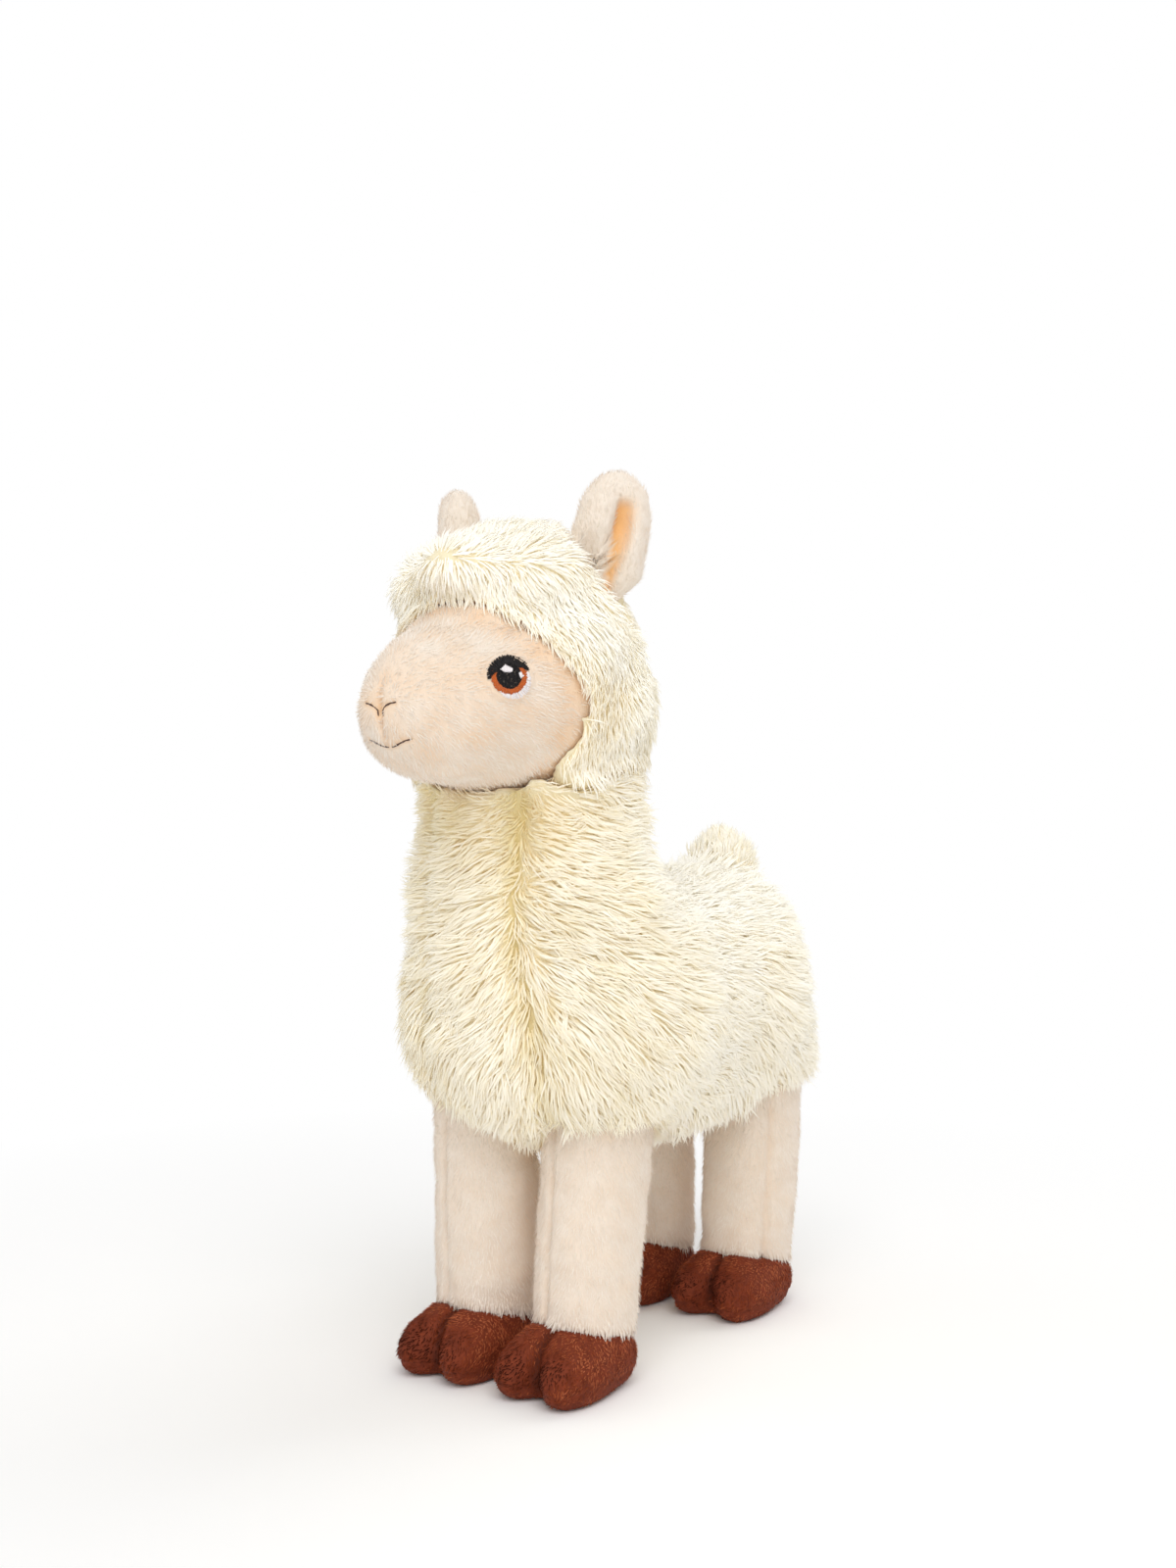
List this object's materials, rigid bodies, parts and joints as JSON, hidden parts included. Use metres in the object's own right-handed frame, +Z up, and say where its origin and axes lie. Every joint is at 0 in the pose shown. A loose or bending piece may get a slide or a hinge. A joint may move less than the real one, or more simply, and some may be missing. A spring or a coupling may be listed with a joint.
{
  "type": "plush llama",
  "caption": "Standing stuffed llama with cream fleece body and hood, short-pile face, ears and legs, brown two-toed hooves and embroidered eyes",
  "frame": {"origin": "on the floor under the middle of the toy's footprint", "axes": "+Z up; the llama faces -Y and its own left side is +X"},
  "size_m": [0.1072, 0.2096, 0.2725],
  "materials": {
    "fleece": "long cream fleece pile",
    "short_pile": "short velvety pile",
    "hoof_plush": "short brown plush",
    "sole_plush": "short dark brown plush",
    "thread_dark": "dark brown thread",
    "thread_black": "black satin stitch",
    "thread_iris": "orange-brown satin stitch",
    "thread_white": "white satin stitch"
  },
  "bodies": {
    "root": {"body": "fleece", "hood": "fleece", "tail": "fleece", "face": "short_pile", "ear_left": "short_pile", "ear_right": "short_pile", "leg_front_left": "short_pile", "hoof_front_left": "hoof_plush", "sole_front_left": "sole_plush", "leg_front_right": "short_pile", "hoof_front_right": "hoof_plush", "sole_front_right": "sole_plush", "leg_hind_left": "short_pile", "hoof_hind_left": "hoof_plush", "sole_hind_left": "sole_plush", "leg_hind_right": "short_pile", "hoof_hind_right": "hoof_plush", "sole_hind_right": "sole_plush", "eye_black_left": "thread_black", "eye_iris_left": "thread_iris", "eye_white_left": "thread_white", "eye_glint_large_left": "thread_white", "eye_glint_small_left": "thread_white", "nostril_left": "thread_dark", "mouth_left": "thread_dark", "eye_black_right": "thread_black", "eye_iris_right": "thread_iris", "eye_white_right": "thread_white", "eye_glint_large_right": "thread_white", "eye_glint_small_right": "thread_white", "nostril_right": "thread_dark", "mouth_right": "thread_dark"}
  },
  "joints": []
}
